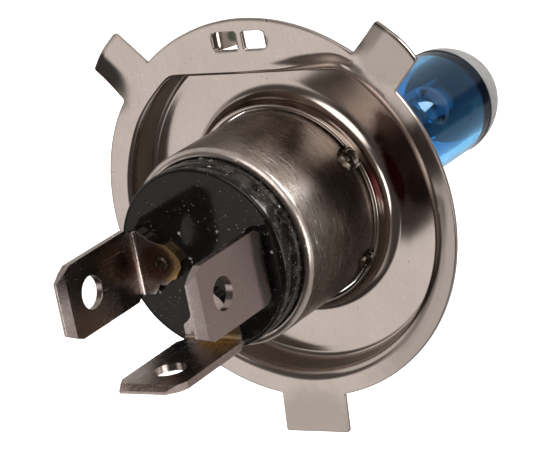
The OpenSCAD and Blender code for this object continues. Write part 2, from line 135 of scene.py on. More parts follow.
class Graph:
    """A material's node tree, with one Principled shader."""

    def __init__(self, name):
        self.mat = bpy.data.materials.new(name)
        self.mat.use_nodes = True
        self.tree = self.mat.node_tree
        self.tree.nodes.clear()
        out = self.tree.nodes.new("ShaderNodeOutputMaterial")
        self.shader = self.tree.nodes.new("ShaderNodeBsdfPrincipled")
        self.tree.links.new(self.shader.outputs[0], out.inputs[0])
        coords = self.add("TexCoord")
        self.point = self.add("VectorMath", {0: coords.outputs["Object"], 1: (1000, 1000, 1000)},
                              operation="MULTIPLY").outputs[0]

    def add(self, kind, inputs=None, **props):
        """New node; inputs are linked where they are sockets and set where they are values."""
        n = self.tree.nodes.new("ShaderNode" + kind)
        for k, v in props.items():
            setattr(n, k, v)
        for k, v in (inputs or {}).items():
            if isinstance(v, bpy.types.NodeSocket):
                self.tree.links.new(v, n.inputs[k])
            else:
                n.inputs[k].default_value = v
        return n

    def math(self, op, a, b=0.0, clamp=False):
        return self.add("Math", {0: a, 1: b}, operation=op, use_clamp=clamp).outputs[0]

    def scaled(self, sx, sy, sz, source=None):
        return self.add("VectorMath", {0: source or self.point, 1: (sx, sy, sz)},
                        operation="MULTIPLY").outputs[0]

    def noise(self, scale, detail=3.0, rough=0.5, source=None, distort=0.0):
        n = self.add("TexNoise", {"Vector": source or self.point, "Scale": scale, "Detail": detail,
                                  "Roughness": rough, "Distortion": distort})
        return n.outputs[0]

    def cells(self, scale, source=None):
        voronoi = self.add("TexVoronoi", {"Vector": source or self.point, "Scale": scale})
        return voronoi.outputs["Distance"]

    def ramp(self, value, lo, hi, out_lo=0.0, out_hi=1.0):
        """Eased step from out_lo, where the value is lo, to out_hi, where it is hi."""
        return self.add("MapRange", {0: value, 1: lo, 2: hi, 3: out_lo, 4: out_hi},
                        interpolation_type="SMOOTHSTEP").outputs[0]

    def near(self, centre, inner, outer, source=None):
        """1 within the inner distance of a point, falling to 0 at the outer one."""
        d = self.add("VectorMath", {0: source or self.point, 1: centre}, operation="DISTANCE")
        return self.ramp(d.outputs["Value"], inner, outer, 1.0, 0.0)

    def mix(self, fac, a, b):
        """Blend of two colours, each a socket or three numbers."""
        n = self.add("Mix", data_type="RGBA")
        for i, v in ((0, fac), (6, a), (7, b)):
            if isinstance(v, bpy.types.NodeSocket):
                self.tree.links.new(v, n.inputs[i])
            else:
                n.inputs[i].default_value = v if i == 0 else (*v, 1.0)
        return n.outputs[2]

    def round_about_axis(self):
        """(angle x ROUND, along the axis, radius), for grain that follows a turned surface."""
        s = self.add("SeparateXYZ", {0: self.point})
        ang = self.math("MULTIPLY", self.math("ARCTAN2", s.outputs[2], s.outputs[0]), ROUND)
        rad = self.math("SQRT", self.math("ADD", self.math("MULTIPLY", s.outputs[0], s.outputs[0]),
                                          self.math("MULTIPLY", s.outputs[2], s.outputs[2])))
        return self.add("CombineXYZ", {0: ang, 1: s.outputs[1], 2: rad}).outputs[0]

    def set(self, **values):
        for k, v in values.items():
            self.shader.inputs[k.replace("_", " ")].default_value = v

    def wire(self, socket, value):
        self.tree.links.new(value, self.shader.inputs[socket])

    def bump(self, height, strength, distance, below=None):
        """Normal roughened by a height, over another one if given; distance in millimetres."""
        ins = {"Strength": strength, "Distance": distance * MM, "Height": height}
        if below:
            ins["Normal"] = below
        return self.add("Bump", ins).outputs[0]


def specks(g, scale, size, source=None, patch=0.25, amount=0.5):
    """Scattered dust: small cells, kept only where a slow noise allows."""
    dots = g.ramp(g.cells(scale, source), size * 0.6, size, 1.0, 0.0)
    allow = g.ramp(g.noise(patch, 2.0, source=source), amount, amount + 0.12)
    return g.math("MULTIPLY", dots, allow)


def scratches(g, source, sx, sy, sz, width):
    """Fine lines: the zero crossings of a long drawn out noise."""
    n = g.noise(1.0, 1.0, 0.4, g.scaled(sx, sy, sz, source))
    return g.ramp(g.math("ABSOLUTE", g.math("SUBTRACT", n, 0.5)), 0.0, width, 1.0, 0.0)


def metal(name, light, dark, rough, grain=(0.6, 0.6, 6.0), grain_depth=0.4, grain_tone=0.35,
          turned=False, tints_and_shade=(), stains=(), wall=0.0, lines=()):
    """Bare metal, cloudy between two tones, with grain and pits.

    rough: least and most roughness.  wall: roughness added on the straight-sided wall of a dish.
    lines: scratches, as (three scales, width, amount, scale of the patches that hold them).
    tints_and_shade: soft patches of colour, some the metal's own tints and some painted shade,
    as (centre, inner, outer, colour, amount) and, for a stretched patch, three scales; its centre
    is then given as round_about_axis() gives it.
    stains: specks, as (scale, size, scale of the patches that hold them, colour, amount).
    """
    g = Graph(name)
    src = g.round_about_axis() if turned else g.point
    cloud = g.noise(0.16, 4.0, 0.6)
    fine = g.noise(1.0, 3.0, 0.6, g.scaled(*grain, src), 0.3)
    pits = g.noise(9.0, 2.0, 0.5)
    colour = g.mix(g.ramp(cloud, 0.3, 0.7), dark, light)
    colour = g.mix(g.ramp(fine, 0.3, 0.75, 0.0, grain_tone), colour, tuple(c * 0.6 for c in dark))
    r = g.ramp(g.math("ADD", g.math("MULTIPLY", fine, 0.6), g.math("MULTIPLY", cloud, 0.4)),
               0.3, 0.7, rough[0], rough[1])
    for sx, sy, sz, width, amount, patch in lines:
        mark = g.math("MULTIPLY", scratches(g, src, sx, sy, sz, width),
                      g.ramp(g.noise(patch, 2.0), 0.45, 0.6, 0.0, amount))
        colour = g.mix(mark, colour, tuple(min(1.0, c * 1.9) for c in light))
        r = g.math("ADD", r, g.math("MULTIPLY", mark, 0.25), clamp=True)
    # the metal's own tints and painted shade, laid over the colour
    for centre, inner, outer, tint, amount, *stretch in tints_and_shade:
        where = None
        if stretch:
            where = g.scaled(*stretch[0], g.round_about_axis())
            centre = tuple(c * k for c, k in zip(centre, stretch[0]))
        edge = g.math("ADD", g.near(centre, inner, outer, where),
                      g.math("MULTIPLY", g.math("SUBTRACT", g.noise(0.9, 3.0), 0.5), 0.5))
        colour = g.mix(g.math("MULTIPLY", g.ramp(edge, 0.15, 0.85), amount), colour, tint)
    for scale, size, patch, tint, amount in stains:
        mark = g.math("MULTIPLY", specks(g, scale, size, patch=patch), amount)
        colour = g.mix(mark, colour, tint)
    if wall:
        s = g.add("SeparateXYZ", {0: g.round_about_axis()})
        outside = g.ramp(s.outputs[2], 14.2, 14.8)
        height = g.math("MULTIPLY", g.ramp(s.outputs[1], 0.0, 0.6),
                        g.ramp(s.outputs[1], 2.7, 3.3, 1.0, 0.0))
        on_wall = g.math("MULTIPLY", outside, height)
        r = g.math("ADD", r, g.math("MULTIPLY", on_wall, wall), clamp=True)
    g.wire("Base Color", colour)
    g.wire("Roughness", r)
    low = g.bump(fine, grain_depth, 0.02)
    g.wire("Normal", g.bump(pits, 0.08, 0.01, low))
    g.set(Metallic=1.0)
    return g


looks = {}

RED_HEAT = (0.085, 0.010, 0.009)
# painted dark reflection on the dish floor
FLOOR_DARK_REFLECTION = (0.085, 0.05, 0.046)
# painted shade on the right lug and the wide lug
LUG_SHADE = (0.36, 0.31, 0.28)
# painted shade on the brim at the lower right
BRIM_EDGE_SHADE = (0.33, 0.285, 0.26)
# painted shade in the gap at the collar's lip
COLLAR_GAP_SHADE = (0.10, 0.08, 0.07)
# painted dark green reflection on the left window's tongue
DARK_GREEN_REFLECTION = (0.07, 0.085, 0.06)
ring_tints_and_shade = (
    ((3.3, 3.4, 15.4), 1.1, 2.4, FLOOR_DARK_REFLECTION, 0.93, (0.43, 1.0, 0.65)),    # dish floor, right: painted dark reflection
    ((1.9, 3.4, 13.2), 0.35, 1.15, RED_HEAT, 0.95, (0.30, 0.6, 1.0)),     # next to the collar
    ((17.6, -0.4, 17.6), 3.2, 5.0, LUG_SHADE, 0.8),                            # right lug, painted shade
    ((0.0, -0.4, -26.0), 3.0, 8.0, LUG_SHADE, 0.85),                           # wide lug, painted shade
    ((-4.2, -0.5, 20.6), 0.9, 2.4, BRIM_EDGE_SHADE, 0.85, (0.2, 1.0, 0.8)),     # lower right brim, painted shade
    ((-10.75, 1.3, 11.25), 0.5, 1.1, COLLAR_GAP_SHADE, 0.9, (0.22, 0.6, 1.0)),    # collar lip, lower right: painted shade of the gap
    ((-2.0, 1.4, 19.4), 0.5, 1.5, DARK_GREEN_REFLECTION, 0.9))                       # left window tongue, painted dark green reflection
ring = metal("plated ring", (0.50, 0.435, 0.395), (0.465, 0.40, 0.36), (0.11, 0.17),
             grain=(7.0, 7.0, 0.7), grain_depth=0.035, grain_tone=0.10, wall=0.30,
             tints_and_shade=ring_tints_and_shade,
             stains=((0.9, 0.1, 0.25, (0.20, 0.14, 0.12), 0.6),
                     (2.6, 0.12, 0.5, (0.2, 0.15, 0.12), 0.5)),
             lines=((0.5, 0.5, 3.0, 0.006, 0.35, 0.3),))
looks["ring_metal"] = ring.mat

# heat tint round the spot welds, and painted shade in the gap under the collar
HEAT_AND_GAP_SHADE = (0.16, 0.11, 0.07)
SHADE = (0.19, 0.155, 0.135)
sleeve_tints_and_shade = (
    ((9.6, 0.4, 5.5), 0.9, 2.7, HEAT_AND_GAP_SHADE, 0.85),                              # round the four spot welds
    ((9.3, 0.5, -6.0), 0.7, 2.2, HEAT_AND_GAP_SHADE, 0.8),
    ((-9.6, 0.4, 5.5), 1.0, 2.8, HEAT_AND_GAP_SHADE, 0.8),
    ((-9.3, 0.5, -6.0), 0.8, 2.3, HEAT_AND_GAP_SHADE, 0.8),
    ((6.3, -2.0, 10.95), 0.9, 3.0, SHADE, 0.78, (0.27, 0.42, 1.0)),       # beside the collar, upper right
    ((-10.75, 0.9, 10.95), 0.6, 1.3, HEAT_AND_GAP_SHADE, 0.9, (0.22, 0.6, 1.0)))        # gap under the collar, painted shade
sleeve = metal("drawn sleeve", (0.56, 0.495, 0.455), (0.45, 0.39, 0.355), (0.22, 0.36),
               grain=(0.9, 3.1, 1.0), grain_depth=0.9, grain_tone=0.45, turned=True,
               tints_and_shade=sleeve_tints_and_shade,
               lines=((0.12, 2.6, 1.0, 0.010, 0.8, 0.22),))
looks["sleeve_metal"] = sleeve.mat

GOLD = (0.55, 0.36, 0.16)
STRAW = (0.42, 0.29, 0.12)
ORANGE = (0.45, 0.27, 0.12)
BLUE_HEAT = (0.14, 0.20, 0.23)
BROWN = (0.20, 0.12, 0.08)
DEEP_BROWN = (0.17, 0.10, 0.075)
BLADE_BROWN = (0.16, 0.10, 0.085)
BURNT = (0.10, 0.055, 0.035)
DARKER_FACE = (0.33, 0.265, 0.25)
# painted shade at the right blade's bend
BEND_SHADE = (0.10, 0.085, 0.08)
terminal_tints_and_shade = (
    ((-5.4, -16.5, -0.1), 1.4, 2.8, BROWN, 0.8),                          # left foot, rings of heat
    ((-7.6, -19.4, 0.6), 0.6, 2.2, BLADE_BROWN, 0.7),                     # left blade, near its foot
    ((-3.7, -16.5, 0.1), 1.4, 2.8, GOLD, 0.9),
    ((-5.0, -16.5, 0.0), 1.4, 2.2, DEEP_BROWN, 0.95),
    ((-4.7, -16.5, -0.1), 0.8, 1.4, BURNT, 0.8),                          # round the left bead
    ((0.8, -17.0, -8.4), 1.2, 3.6, STRAW, 0.85),                          # low blade, at its bend
    ((-2.0, -19.0, -8.4), 0.5, 2.0, BLUE_HEAT, 0.7),
    ((4.6, -16.5, 0.0), 0.9, 2.6, ORANGE, 0.9),                           # right foot
    ((0.0, -23.0, 8.8), 1.5, 2.6, DARKER_FACE, 0.7, (0.2, 0.3, 0.5)),       # right blade, outer face made darker
    ((0.0, -17.0, 8.8), 1.0, 2.6, BEND_SHADE, 0.85, (0.2, 1.0, 0.5)))      # right blade, painted shade at its bend
terminal = metal("terminal strip", (0.46, 0.40, 0.375), (0.34, 0.28, 0.255), (0.17, 0.30),
                 grain=(3.2, 2.0, 5.0), grain_depth=0.22, grain_tone=0.5,
                 tints_and_shade=terminal_tints_and_shade,
                 stains=((1.4, 0.12, 0.25, (0.10, 0.075, 0.06), 0.7),
                         (4.0, 0.16, 0.5, (0.62, 0.58, 0.54), 0.5)),
                 lines=((1.4, 0.10, 1.8, 0.006, 0.6, 0.3),))
looks["terminal_metal"] = terminal.mat

weld = metal("weld metal", (0.20, 0.165, 0.135), (0.035, 0.026, 0.02), (0.16, 0.42),
             grain=(3.2, 3.2, 3.2), grain_depth=0.7, grain_tone=0.6)
looks["weld_metal"] = weld.mat
looks["clamp_metal"] = metal("holder sheet", (0.44, 0.40, 0.36), (0.36, 0.32, 0.28),
                             (0.25, 0.4)).mat
looks["tungsten"] = metal("coil wire", (0.30, 0.30, 0.30), (0.20, 0.20, 0.20), (0.3, 0.45),
                          grain=(6, 6, 6)).mat
looks["molybdenum"] = metal("support wire", (0.55, 0.54, 0.53), (0.45, 0.44, 0.43), (0.16, 0.26),
                            grain_depth=0.05, grain_tone=0.1).mat
looks["seal_foil"] = metal("seal foil", (0.5, 0.48, 0.46), (0.4, 0.38, 0.36), (0.2, 0.35)).mat
looks["lead_metal"] = metal("lead wire", (0.45, 0.38, 0.30), (0.35, 0.28, 0.22), (0.25, 0.4)).mat

# moulded black, glossy, with dust and a thin film; its side wall is dustier
g = Graph("moulded black")
swirl = g.add("TexNoise", {"Vector": g.point, "Scale": 3.0}).outputs[1]
ragged_point = g.add("VectorMath", {0: g.point, 1: g.scaled(0.5, 0.5, 0.5, swirl)},
                     operation="ADD").outputs[0]
big = specks(g, 0.75, 0.17, ragged_point, 0.35, 0.50)
small = specks(g, 2.4, 0.15, ragged_point, 0.5, 0.47)
dust = g.math("ADD", big, small, clamp=True)
film = g.ramp(g.noise(0.5, 5.0, 0.7), 0.45, 0.75, 0.0, 0.25)
turn = g.add("SeparateXYZ", {0: g.round_about_axis()})
side_wall = g.math("MULTIPLY", g.ramp(turn.outputs[2], 9.8, 10.0),
                   g.ramp(g.noise(0.9, 5.0, 0.75), 0.48, 0.66, 0.0, 0.24))
colour = g.mix(film, (0.0035, 0.0030, 0.0030), (0.012, 0.0105, 0.010))
colour = g.mix(side_wall, colour, (0.12, 0.105, 0.095))
g.wire("Base Color", g.mix(dust, colour, (0.28, 0.26, 0.235)))
matt = g.math("MULTIPLY", g.math("ADD", dust, side_wall, clamp=True), 0.6)
gloss = g.ramp(g.noise(1.3, 4.0), 0.3, 0.8, 0.06, 0.15)
g.wire("Roughness", g.math("ADD", gloss, matt, clamp=True))
g.wire("Normal", g.bump(g.noise(0.8, 3.0), 0.05, 0.05, g.bump(dust, 0.4, 0.03)))
g.set(IOR=1.31, Specular_Tint=(1.0, 0.93, 0.89, 1.0))
looks["insulator_black"] = g.mat

# blue coated glass, with one small uneven spot that gathers the light
SPOT = (5.4, 26.8, 3.3)
SPOT_RADIUS = 2.6
SPOT_HEIGHT = 0.43
g = Graph("blue coated glass")
tone = g.ramp(g.noise(0.12, 2.0), 0.35, 0.65)
g.wire("Base Color", g.mix(tone, (0.06, 0.29, 0.54), (0.12, 0.37, 0.62)))
g.wire("Roughness", g.ramp(g.noise(1.5, 3.0), 0.3, 0.9, 0.0, 0.03))
from_spot = g.add("VectorMath", {0: g.point, 1: SPOT}, operation="DISTANCE").outputs["Value"]
cone = g.add("MapRange", {0: from_spot, 1: 0.0, 2: SPOT_RADIUS, 3: 1.0, 4: 0.0}).outputs[0]
uneven = g.add("Bump", {"Strength": 1.0, "Distance": SPOT_HEIGHT * MM, "Height": cone})
g.wire("Normal", g.bump(g.noise(0.25, 2.0), 0.05, 0.2, uneven.outputs[0]))
g.set(Transmission_Weight=1.0, IOR=1.45, Specular_Tint=(0.15, 0.52, 0.88, 1.0))
looks["blue_glass"] = g.mat

g = Graph("tip coat")
g.wire("Base Color", g.mix(g.ramp(g.noise(0.8, 4.0), 0.3, 0.7),
                           (0.135, 0.132, 0.127), (0.175, 0.172, 0.166)))
g.wire("Roughness", g.ramp(g.noise(2.0, 3.0), 0.3, 0.7, 0.32, 0.5))
g.wire("Normal", g.bump(g.noise(3.0, 4.0), 0.25, 0.03))
looks["tip_paint"] = g.mat


# ---- focus ring ---------------------------------------------------------------

BRIM = 21.49                     # radius of the brim
SHEET = 0.5                      # thickness; the brim lies between y = -SHEET and 0
DISH = 19.05                     # outermost line of the dish
STRAIGHT = 15.9                  # the same line at the middle of the straight wall
WALL_OUT, WALL_IN = 0.05, 0.55   # the two faces of the wall, inside that line
BEND_IN, BEND_OUT = 0.8, 1.3     # inner and outer radius of the bend from wall to floor
BEND_Y = 2.65                    # where the wall ends and that bend starts
FLOOR_EDGE = 1.35                # where the floor starts, inside that line
FLOOR_BACK, FLOOR_FRONT = 3.45, 3.95
FLOOR_END = 13.45                # where the back of the floor turns into the collar
COLLAR_IN, COLLAR_OUT = 11.05, 11.55
COLLAR_BEND = 2.0                # radius of the collar's bend on the glass side
COLLAR_BEND_Y = 1.95             # where the collar meets that bend
COLLAR_FOOT = 13.05              # where that bend meets the floor
WINDOW_Z = (18.075, 20.125)      # lower and upper edge of the two windows
LEFT_HINGE, RIGHT_HINGE = -3.975, 2.875   # their outer edges, where the tongues are bent
LEFT_END, RIGHT_END = -0.975, -0.125      # their inner edges
CUT_BACK, CUT_FRONT = -2.0, 0.6  # reach of the tools that cut them, past both faces
TONGUE_ANGLE = 62                # degrees out of the brim
TONGUE_RUN = 2.35                # length past the bend
TONGUE_Z = 19.1                  # middle of the tongues

# angle, half width, distance from the axis to the end, bulge of the end
LUGS = ((45, 3.0, 26.0, 0.3), (135, 2.93, 26.4, 0.0), (270, 4.0, 25.76, -0.31))


def dish_edge(th, d):
    """Distance from the axis to the edge of the dish, d inside its outermost line."""
    s = math.sin(th)
    r = DISH - d
    return smooth_min(r, (STRAIGHT - d) / s, 0.4) if s > 0.4 else r


def rounded(points):
    """Closed outline from (x, z, corner radius)."""
    out = []
    n = len(points)
    for i, (x, z, r) in enumerate(points):
        p = Vector((x, z))
        if not r:
            out.append(p)
            continue
        a = (Vector(points[i - 1][:2]) - p).normalized()
        b = (Vector(points[(i + 1) % n][:2]) - p).normalized()
        half = a.angle(b) / 2
        t = r / math.tan(half)
        c = p + (a + b).normalized() * (r / math.sin(half))
        start, end = p + a * t - c, p + b * t - c
        sweep = wrap(math.atan2(end.y, end.x) - math.atan2(start.y, start.x))
        for k in range(6):
            q = sweep * k / 5
            out.append(c + Vector((start.x * math.cos(q) - start.y * math.sin(q),
                                   start.x * math.sin(q) + start.y * math.cos(q))))
    return out


def brim_outline():
    """Outline of the brim with its three lugs, and a root and a corner radius at each lug."""
    root_r, corner_r = 0.25, 0.32
    pts = []
    ang = 0.0
    stops = sorted(LUGS)
    for deg, h, reach, bulge in stops + [(360 + stops[0][0], *stops[0][1:])]:
        half = math.degrees(math.asin(h / BRIM))
        start, end = ang, deg - half
        n = max(2, int((end - start) / 1.6))
        for k in range(1 if pts else 0, n):
            a = math.radians(start + (end - start) * k / n)
            if deg > 360 and math.degrees(a) >= 360:
                break
            pts.append((BRIM * math.cos(a), BRIM * math.sin(a), 0.0))
        if deg > 360:
            break
        c, s = math.cos(math.radians(deg)), math.sin(math.radians(deg))
        root = math.sqrt(BRIM ** 2 - h * h)
        top = math.sqrt(reach ** 2 - h * h)
        lug = [(root, -h, root_r)]
        lug += [(root + (top - root) * k / 7, -h, 0.0) for k in range(1, 6)]
        lug += [(top, -h, corner_r)]
        lug += [(math.sqrt(reach ** 2 - w * w) + bulge * (1 - (w / h) ** 2), w, 0.0)
                for w in [h * (k / 5 - 1) for k in range(2, 9)]]
        lug += [(top, h, corner_r)]
        lug += [(root + (top - root) * k / 7, h, 0.0) for k in range(5, 0, -1)]
        lug += [(root, h, root_r)]
        pts += [(u * c - w * s, u * s + w * c, r) for u, w, r in lug]
        ang = deg + half
    return rounded(pts)


# radius of the rolled edge between brim and dish, by angle
ROLL = ((0, 1.3), (40, 1.35), (62, 1.0), (80, 0.6), (100, 0.45), (130, 0.4), (150, 0.7), (180, 1.0),
        (225, 1.0), (250, 1.1), (272, 1.35), (325, 1.4), (360, 1.35))


def roll(th):
    """Radius of the rolled edge at an angle, eased between the values of ROLL."""
    d = math.degrees(th) % 360
    for (a, ra), (b, rb) in zip(ROLL, ROLL[1:]):
        if a <= d <= b:
            return ra + (rb - ra) * smooth(d, a, b)
    return ROLL[0][1]


# how strongly the brim sheet leaves its plane: millimetres, and slopes for the three lugs
WAVE = 0.04
LEFT_FOLD = 0.24
RIGHT_FOLD = 0.20
WIDE_LEAN = 0.12
UPPER_SINK = 0.26
LOWER_SINK = 0.14


def sheet_lift(x, z):
    """How far the brim sheet stands off flat: slight waves, and lugs that are not quite true."""
    r = math.hypot(x, z)
    y = WAVE * wobble(x, z, 0, 0.11, 4.0) * smooth(r, 19.2, 20.6)
    c = math.sqrt(0.5)
    # left lug: u outwards, w towards its lower edge
    u, w = (z - x) * c, -(x + z) * c
    fold = max(w + 0.2, 0) ** 2 / (max(w + 0.2, 0) + 0.5)
    y += LEFT_FOLD * fold * smooth(u, 19.4, 25.2) * smooth(abs(w), 5.5, 3.2)
    # right lug: u outwards, w towards its upper edge
    u, w = (x + z) * c, (z - x) * c
    y += (RIGHT_FOLD * max(w - 1.1, 0) ** 2 / (max(w - 1.1, 0) + 0.3)
          * smooth(u, 20.6, 23.5) * smooth(abs(w), 5.0, 3.2))
    # the sheet sinks towards the dish, right of the middle of the straight wall and at the lower right
    th = math.degrees(math.atan2(z, x))
    sink = smooth(th, 103, 62) * smooth(th, 42, 58)
    y += UPPER_SINK * sink * smooth(z, 16.9 + 0.75 * smooth(x, 0, 8), 15.8) * smooth(r, 20.9, 19.6)
    y += LOWER_SINK * smooth(r, 20.8, 19.4) * smooth(th, -75, -50) * smooth(th, 10, -12)
    # the wide lug leans towards the terminals
    y -= WIDE_LEAN * max(r - 21.3, 0) * smooth(abs(x), 4.6, 4.0) * smooth(-z, 18, 20)
    return y


def ring_rows():
    """Closed section of the sheet: back of the brim, dish and collar, then their glass side."""
    rim = brim_outline()
    n = len(rim)
    th = [math.atan2(p.y, p.x) for p in rim]
    out = []
    for k in range(n):
        t = rim[(k + 1) % n] - rim[k - 1]
        out.append(Vector((t.y, -t.x)).normalized())
    rows = []

    def at_rim(inset, y):
        """Row along the outline, moved inwards."""
        rows.append([(rim[k].x - out[k].x * inset, y + sheet_lift(*rim[k]),
                      rim[k].y - out[k].y * inset) for k in range(n)])

    def polar(radius, y, lift=0.0):
        """Row at a radius and height by angle; lift is its share of the sheet's unevenness."""
        row = []
        for k in range(n):
            r = radius(th[k])
            x, z = r * math.cos(th[k]), r * math.sin(th[k])
            yy = y(th[k]) if callable(y) else y
            row.append((x, yy + sheet_lift(x, z) * lift, z))
        rows.append(row)

    def brim(fractions, inset, y, edge):
        """Rows between the outline and an inner edge."""
        for f in fractions:
            row = []
            for k in range(n):
                e = edge(th[k])
                x = (rim[k].x - out[k].x * inset) * (1 - f) + e * math.cos(th[k]) * f
                z = (rim[k].y - out[k].y * inset) * (1 - f) + e * math.sin(th[k]) * f
                row.append((x, y + sheet_lift(x, z), z))
            rows.append(row)

    deg = math.radians
    # back of the brim, from its rounded edge inwards
    at_rim(0.0, -0.44)
    at_rim(0.02, -0.485)
    at_rim(0.06, -SHEET)
    brim((0.08, 0.18, 0.3, 0.42, 0.54, 0.66, 0.78, 0.9), 0.06, -SHEET,
         lambda t: dish_edge(t, WALL_IN - roll(t)))
    # rolled edge, wall, bend and floor of the dish
    for a in range(0, 91, 9):
        polar(lambda t, a=a: dish_edge(t, WALL_IN - roll(t) * (1 - math.sin(deg(a)))),
              lambda t, a=a: roll(t) * (1 - math.cos(deg(a))) - SHEET, 1 - a / 90)
    for f in (0.25, 0.5, 0.75, 1.0):
        polar(lambda t: dish_edge(t, WALL_IN),
              lambda t, f=f: (roll(t) - SHEET) * (1 - f) + BEND_Y * f)
    for b in range(15, 91, 15):
        polar(lambda t, b=b: dish_edge(t, WALL_IN + BEND_IN * (1 - math.cos(deg(b)))),
              BEND_Y + BEND_IN * math.sin(deg(b)))
    for f in (0.12, 0.3, 0.5, 0.7, 0.85):
        polar(lambda t, f=f: dish_edge(t, FLOOR_EDGE) * (1 - f) + FLOOR_END * f, FLOOR_BACK)

    def fillet(t):
        """Radius between floor and collar, larger at the top."""
        return 1.5 + 0.28 * bump(wrap(t - math.pi / 2), 0, 0.8)

    for c in range(0, 91, 9):
        polar(lambda t, c=c: COLLAR_OUT + fillet(t) * (1 - math.sin(deg(c))),
              lambda t, c=c: FLOOR_BACK - fillet(t) * (1 - math.cos(deg(c))))

    def flare(t):
        """How far the free end of the collar stands out."""
        d = math.degrees(wrap(t))
        return 0.10 * bump(d, -56, 12) + 0.1 * bump(d, 112, 25) + 0.05 * wobble(d, 0, 0, 0.05, 1.0)

    def rim_y(t):
        """Unevenness of the collar's free end along the axis."""
        return 0.06 * wobble(math.cos(t), math.sin(t), 0, 2.5, 2.0)

    # the collar, its free end and its inner face
    for y, k in ((1.6, 0.3), (1.35, 0.6), (1.12, 0.9)):
        polar(lambda t, k=k: COLLAR_OUT + flare(t) * k, lambda t, y=y, k=k: y + rim_y(t) * k)
    for r, y in ((11.52, 1.04), (11.45, 1.0), (11.15, 1.0), (11.08, 1.04), (COLLAR_IN, 1.12)):
        polar(lambda t, r=r: r + flare(t), lambda t, y=y: y + rim_y(t))
    polar(lambda t: COLLAR_IN, COLLAR_BEND_Y)
    # glass side: bend, floor, wall, and the brim outwards to its rounded edge
    for c in range(75, -1, -15):
        polar(lambda t, c=c: COLLAR_FOOT - COLLAR_BEND * math.sin(deg(c)),
              COLLAR_BEND_Y + COLLAR_BEND * math.cos(deg(c)))
    for f in (0.3, 0.6):
        polar(lambda t, f=f: dish_edge(t, FLOOR_EDGE) * f + COLLAR_FOOT * (1 - f), FLOOR_FRONT)
    for b in range(90, -1, -15):
        polar(lambda t, b=b: dish_edge(t, FLOOR_EDGE - BEND_OUT * math.cos(deg(b))),
              BEND_Y + BEND_OUT * math.sin(deg(b)))
    for y in (1.3, 0.05):
        polar(lambda t: dish_edge(t, WALL_OUT), y)
    polar(lambda t: dish_edge(t, 0.0), 0.0, 1.0)
    brim((0.88, 0.74, 0.58, 0.42, 0.26, 0.12), 0.04, 0.0, lambda t: dish_edge(t, 0))
    at_rim(0.04, 0.0)
    at_rim(0.0, -0.04)
    return rows


def cutter(name, outline, y0, y1):
    """Prism over an outline of (x, z) points."""
    n = len(outline)
    verts = [(p.x, y, p.y) for y in (y0, y1) for p in outline]
    faces = [tuple(range(n)), tuple(range(2 * n - 1, n - 1, -1))]
    faces += [(i, (i + 1) % n, n + (i + 1) % n, n + i) for i in range(n)]
    ob = bpy.data.objects.new(name, make_mesh(name, verts, faces))
    scene.collection.objects.link(ob)
    return ob


def cut(ob, tools):
    """Takes the tools out of a mesh and removes them."""
    for t in tools:
        m = ob.modifiers.new("cut", "BOOLEAN")
        m.operation, m.solver, m.object = "DIFFERENCE", "EXACT", t
    deps = bpy.context.evaluated_depsgraph_get()
    me = bpy.data.meshes.new_from_object(ob.evaluated_get(deps))
    ob.modifiers.clear()
    ob.data = me
    for t in tools:
        bpy.data.objects.remove(t)


def tongue(hinge_x, side, bend):
    """Bent flap of a window: side +1 opens towards +X from its hinge; bend is the inner radius."""
    prof = []
    angle, run = math.radians(TONGUE_ANGLE), TONGUE_RUN
    tx, ty = math.cos(angle), math.sin(angle)
    for k in range(9):
        a = angle * k / 8
        prof.append(((bend + SHEET) * math.sin(a), bend - (bend + SHEET) * math.cos(a)))
    ex, ey = prof[-1]
    prof += [(ex + tx * run * f, ey + ty * run * f) for f in (0.5, 0.97)]
    ex, ey = ex + tx * run - 0.06 * ty, ey + ty * run + 0.06 * tx
    prof.append((ex, ey))
    fx, fy = bend * math.sin(angle), bend - bend * math.cos(angle)
    prof += [(fx + tx * run, fy + ty * run), (fx + tx * run * 0.5, fy + ty * run * 0.5)]
    for k in range(8, -1, -1):
        a = angle * k / 8
        prof.append((bend * math.sin(a), bend - bend * math.cos(a)))
    n = len(prof)
    rows = []
    zs = (-1.02, -0.97, -0.4, 0.4, 0.97, 1.02)
    for i, z in enumerate(zs):
        inset = 0.05 if i in (0, len(zs) - 1) else 0.0
        cx = sum(p[0] for p in prof) / n
        cy = sum(p[1] for p in prof) / n
        for x, y in prof:
            x += (cx - x) * inset
            y += (cy - y) * inset
            rows.append((hinge_x + side * (x - 0.03), y, TONGUE_Z + z))
    faces = grid_faces(len(zs), n)
    faces += [tuple(range(n)), tuple(range(len(rows) - 1, len(rows) - n - 1, -1))]
    return rows, faces


